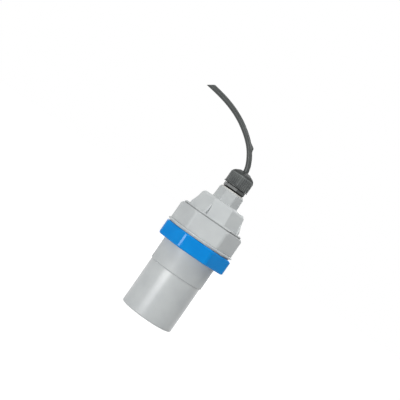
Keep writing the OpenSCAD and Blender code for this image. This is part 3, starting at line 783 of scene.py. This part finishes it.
gland_thread = thread("gland_thread", gland_root, gland_crest, gland_pitch, gland_nut_low, gland_high.z)
join(gland_body, flange, gland_thread)
smooth(gland_body)
dress(gland_body, gland_nylon)
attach(gland_body, "housing")
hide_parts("gland_body")


# Gland seal and clamp: a black rubber sleeve round the cable, inside a ring of nylon fingers that the
# cap nut's cone presses together. Both are dropped into the gland's body.
dress(nodes["gland_seal"], black_rubber)
dress(nodes["clamp_insert"], skin("clamp_nylon", (44, 45, 46), (58, 59, 60), (0.4, 0.52),
                                  cloud=150, bump=0.08))


# Gland cap nut: a hexagonal nut with a round foot, fine upright grip ribs on its flats and a domed top,
# moulded in the same dark grey nylon. It is screwed down over the clamp.
cap_nut_low, cap_nut_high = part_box("gland_cap_nut")
cap_nut_width = 24 * MM
lip_radius = 13.1 * MM
lip_height = 1.4 * MM
shoulder_height = 12.2 * MM
nut_shoulder = cap_nut_low.z + shoulder_height
top_hole = 4.4 * MM
top_width = 11 * MM
cap_nut_corner = 1.6 * MM
cap_nut_soft = 0.2 * MM
cap_nut_bore = gland_crest + thread_play
clamp_room = 1 * MM
cone_low = gland_high.z + clamp_room
crown_height = 3.2 * MM
cone_high = cap_nut_high.z - crown_height
cone_tip = 6.5 * MM
seat_height = 0.4 * MM
seat_high = cone_high + seat_height
grip_rows = 5
grip_pitch = 2.3 * MM
grip_width = 1.1 * MM
grip_depth = 0.5 * MM
grip_round = 0.25 * MM
grip_end = 0.6 * MM
grip_low = cap_nut_low.z + lip_height - overlap
grip_high = nut_shoulder - grip_end
nut_sides = 6
dome_rise = cap_nut_high.z - nut_shoulder
dome_widths = {0.2: 22.8 * MM, 0.45: 20.4 * MM, 0.58: 18.4 * MM}
cap_nut_levels = [(grip_low, cap_nut_width), (nut_shoulder, cap_nut_width)]
cap_nut_levels += [(nut_shoulder + share * dome_rise, width) for share, width in dome_widths.items()]
cap_nut_levels += [(cap_nut_high.z, top_width)]
cap_nut = stacked("gland_nut_shell", nut_sides, cap_nut_levels, cap_nut_corner, math.pi / nut_sides)
combine(cap_nut, turned("nut_lip", [
    (0, cap_nut_low.z, 0), (lip_radius, cap_nut_low.z, small_round),
    (lip_radius, cap_nut_low.z + lip_height, 2 * small_round),
    (0, cap_nut_low.z + lip_height, 0)]), "UNION")
combine(cap_nut, turned("nut_hollow", [
    (0, cap_nut_low.z - cut_margin, 0), (cap_nut_bore, cap_nut_low.z - cut_margin, 0),
    (cap_nut_bore, cone_low, 0), (cone_tip, cone_high, 0), (cone_tip, seat_high, 0),
    (top_hole, seat_high, 0), (top_hole, cap_nut_high.z + cut_margin, 0),
    (0, cap_nut_high.z + cut_margin, 0)]), "DIFFERENCE")
soften(cap_nut, cap_nut_soft)
grip_place = (cap_nut_width / 2 - grip_depth / 2, 0, (grip_low + grip_high) / 2)
bpy.ops.object.select_all(action="DESELECT")
bpy.ops.mesh.primitive_cube_add(size=1, location=grip_place)
grip = bpy.context.object
grip.name = "grip_rib"
grip.scale = (3 * grip_depth, grip_width, grip_high - grip_low)
bpy.ops.object.transform_apply(location=True, rotation=True, scale=True)
bpy.ops.object.mode_set(mode="EDIT")
select_where(grip, "edges", lambda edge: all(v.co.x > cap_nut_width / 2 for v in edge.verts))
bpy.ops.mesh.bevel(offset=grip_round, segments=3, affect="EDGES")
bpy.ops.object.mode_set(mode="OBJECT")
grips = []
for side in range(nut_sides):
    for row in range(grip_rows):
        copy = grip.copy()
        copy.data = grip.data.copy()
        bpy.context.collection.objects.link(copy)
        shift = Matrix.Translation((0, (row - (grip_rows - 1) / 2) * grip_pitch, 0))
        copy.data.transform(Matrix.Rotation(2 * math.pi / nut_sides * side, 4, "Z") @ shift)
        grips.append(copy)
bpy.data.objects.remove(grip)
join(cap_nut, *grips)
smooth(cap_nut, angle=20)
# Painted shade: the cap nut's domed top is darkened in the colour; its edges get a painted highlight.
dome_shade = (nut_shoulder + 0.3 * MM, cap_nut_high.z, 0.4 * MM, 0.4)
# Painted highlight: a lighter ring along the cap nut's shoulder.
shoulder_highlight = (nut_shoulder - 0.8 * MM, nut_shoulder, 0.3 * MM, 1.45)
# Painted shade: the cap nut's lip at its foot is darkened in the colour.
lip_shade = (cap_nut_low.z, cap_nut_low.z + lip_height, 0.2 * MM, 0.8)
cap_nut_nylon = skin("cap_nut_nylon", gland_dark, gland_light, (0.28, 0.36), cloud=110, bump=0.04,
                     mirror=0.2, bands=(dome_shade, shoulder_highlight, lip_shade), edge_light=gland_edge_light)
dress(cap_nut, cap_nut_nylon)
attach(cap_nut, "gland_nut")
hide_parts("gland_cap_nut")


# Cable inside the sensor: the end of the jacket below the neck, and four PVC insulated cores that fan
# out from it and are clamped in the terminals.
cable_jacket = skin("cable_jacket", (48, 52, 51), (61, 65, 64), (0.36, 0.5),
                    grain=3000, cloud=140, bump=0.08)
dress(nodes["cable_tail"], cable_jacket)
core_finishes = {"core_brown": wire_skin("brown_wire", (92, 52, 26), (112, 66, 36)),
                 "core_blue": wire_skin("blue_wire", (30, 72, 168), (44, 90, 190)),
                 "core_black": wire_skin("black_wire", (18, 18, 18), (32, 32, 32)),
                 "core_white": wire_skin("white_wire", (224, 224, 220), (240, 240, 236))}
for core, finish in core_finishes.items():
    dress(nodes[core], finish)


# Cable: a round dark grey PVC jacket over four cores, 0.097 m from the gland to a slanting cut end.
# It is stiff for that length and stands in one bend to the left, with a small burr on its outer side.
cable_diameter = 5.6 * MM
cable_steps = 6
cable_points = [(0, 167), (-0.4, 170.2), (-1.6, 174.2), (-3.6, 178.4), (-6.3, 183), (-9.7, 187.9),
                (-14, 192.5), (-19, 196.8), (-25, 201.1), (-31, 204.9), (-38, 208.4), (-46, 211.6),
                (-55, 214.2), (-65, 216.3), (-75.5, 217.8)]
cable_path = [Vector((x * MM, 0, z * MM)) for x, z in cable_points]
cable_end = cable_path[-1]
cut_tilt = math.radians(34.5)
cut_normal = Vector((-math.sin(cut_tilt), 0, math.cos(cut_tilt)))
cable_run = (cable_path[-1] - cable_path[-2]).normalized()
spare = 6 * MM
burr_start, burr_foot = Vector((-12.4 * MM, 0, 193.8 * MM)), Vector((-5.4 * MM, 0, 188.2 * MM))
burr_length = (burr_foot - burr_start).length
burr_ramp = 6.4 * MM
burr_height = 1.5 * MM
burr_half_width = 2.4 * MM
bpy.ops.object.select_all(action="DESELECT")
bpy.ops.curve.primitive_nurbs_path_add()
cable = bpy.context.object
cable.name = "cable_jacket"
line = cable.data.splines[0]
cable_line = cable_path + [cable_end + cable_run * spare]
line.points.add(len(cable_line) - len(line.points))
for point, place in zip(line.points, cable_line):
    point.co = (*place, 1)
line.order_u, line.use_endpoint_u, line.resolution_u = 4, True, cable_steps
cable.data.bevel_depth, cable.data.bevel_resolution = cable_diameter / 2, cable_steps
cable.data.use_fill_caps = True
bpy.ops.object.convert(target="MESH")
bpy.ops.object.mode_set(mode="EDIT")
bpy.ops.mesh.select_all(action="SELECT")
bpy.ops.mesh.remove_doubles(threshold=weld)
bpy.ops.mesh.bisect(plane_co=cable_end, plane_no=cut_normal, use_fill=True, clear_outer=True)
bpy.ops.mesh.select_all(action="SELECT")
bpy.ops.mesh.normals_make_consistent(inside=False)
bpy.ops.object.mode_set(mode="OBJECT")
burr_run = (burr_foot - burr_start).normalized()
burr_out = Vector((-burr_run.z, 0, burr_run.x))
for vertex in cable.data.vertices:
    along = (vertex.co - burr_start).dot(burr_run)
    outward = (vertex.co - burr_start).dot(burr_out)
    rise = min(along / burr_ramp, (burr_length - along) / (burr_length - burr_ramp))
    side = max(0, 1 - abs(vertex.co.y) / burr_half_width)
    if rise > 0 and outward > -cable_diameter / 4:
        vertex.co += burr_out * burr_height * rise * side
smooth(cable, angle=50)
dress(cable, cable_jacket)
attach(cable, "housing")
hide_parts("cable")


# Floor: a wide sheet of pale studio paper under the sensor. It reads white to the camera and keeps the
# soft shadow at the sensor's foot.
floor_size = 12
floor_gap = 0.05 * MM
paper_tone = 0.6
paper_glow = 0.79
bpy.ops.object.select_all(action="DESELECT")
bpy.ops.mesh.primitive_plane_add(size=floor_size, location=(0, 0, cad_low.z - floor_gap))
floor = bpy.context.object
floor.name = "floor"
paper = bpy.data.materials.new("floor_paper")
paper.use_nodes = True
tree = paper.node_tree
tree.nodes.remove(tree.nodes["Principled BSDF"])
matt = tree.nodes.new("ShaderNodeBsdfDiffuse")
matt.inputs["Color"].default_value = (paper_tone, paper_tone, paper_tone, 1)
glow = tree.nodes.new("ShaderNodeEmission")
rays = tree.nodes.new("ShaderNodeLightPath")
seen = tree.nodes.new("ShaderNodeMath")
seen.operation = "MAXIMUM"
share = tree.nodes.new("ShaderNodeMath")
share.operation = "MULTIPLY"
share.inputs[1].default_value = paper_glow
blend = tree.nodes.new("ShaderNodeAddShader")
tree.links.new(rays.outputs["Is Camera Ray"], seen.inputs[0])
tree.links.new(rays.outputs["Is Glossy Ray"], seen.inputs[1])
tree.links.new(seen.outputs[0], share.inputs[0])
tree.links.new(share.outputs[0], glow.inputs["Strength"])
tree.links.new(matt.outputs["BSDF"], blend.inputs[0])
tree.links.new(glow.outputs["Emission"], blend.inputs[1])
tree.links.new(blend.outputs["Shader"], tree.nodes["Material Output"].inputs["Surface"])
dress(floor, paper)


# Light: a white room, two low soft lamps to the front left, a small one near the cap on the right, and
# two wide ones behind and overhead.
world = bpy.data.worlds.new("white_room")
bpy.context.scene.world = world
world.use_nodes = True
tree = world.node_tree
room = tree.nodes["Background"]
room.inputs["Color"].default_value = (1, 1, 1, 1)
room_light = 0.36
rays = tree.nodes.new("ShaderNodeLightPath")
seen = tree.nodes.new("ShaderNodeMath")
mirrored = tree.nodes.new("ShaderNodeMath")
seen.operation = mirrored.operation = "MAXIMUM"
strength = tree.nodes.new("ShaderNodeMapRange")
strength.inputs["To Min"].default_value, strength.inputs["To Max"].default_value = room_light, 1
tree.links.new(rays.outputs["Is Camera Ray"], seen.inputs[0])
tree.links.new(rays.outputs["Is Transmission Ray"], mirrored.inputs[0])
tree.links.new(rays.outputs["Is Glossy Ray"], mirrored.inputs[1])
tree.links.new(mirrored.outputs[0], seen.inputs[1])
tree.links.new(seen.outputs[0], strength.inputs["Value"])
tree.links.new(strength.outputs["Result"], room.inputs["Strength"])
aim = Vector((0, 0, 0.11))


def lamp(name, place, width, height, watts):
    bpy.ops.object.light_add(type="AREA", location=place)
    light = bpy.context.object
    light.name = name
    light.data.shape, light.data.size, light.data.size_y = "RECTANGLE", width, height
    light.data.energy = watts
    light.visible_camera = False
    light.rotation_euler = (aim - Vector(place)).to_track_quat("-Z", "Y").to_euler()


lamp("key_lamp", (-0.51, -1.09, 0.11), width=0.25, height=0.2, watts=5.2)
lamp("strip_lamp", (-0.774, -0.926, 0.03), width=0.06, height=0.05, watts=1.5)
lamp("near_lamp", (0.17, -0.17, 0.42), width=0.15, height=0.15, watts=0.43)
lamp("back_lamp", (0.4, 1.1, 0.5), width=0.8, height=0.8, watts=7)
lamp("overhead_lamp", (-0.1, -0.1, 1.3), width=0.9, height=0.9, watts=2.4)


# Camera: a long lens level with the cap's dome, a little to the left of the sensor's axis, and rolled
# so that the sensor leans to the right.
camera_place = (-21.1 * MM, -915 * MM, 120.8 * MM)
camera_roll = math.radians(34.8)
camera_data = bpy.data.cameras.new("camera")
camera = bpy.data.objects.new("camera", camera_data)
bpy.context.collection.objects.link(camera)
bpy.context.scene.camera = camera
camera_data.sensor_width = 36
camera_data.lens = 85.5
camera_data.clip_start, camera_data.clip_end = 0.01, 50
camera.matrix_world = (Matrix.Translation(camera_place)
                       @ Matrix.Rotation(math.pi / 2, 4, "X") @ Matrix.Rotation(camera_roll, 4, "Z"))
bpy.context.scene.view_settings.view_transform = "Standard"
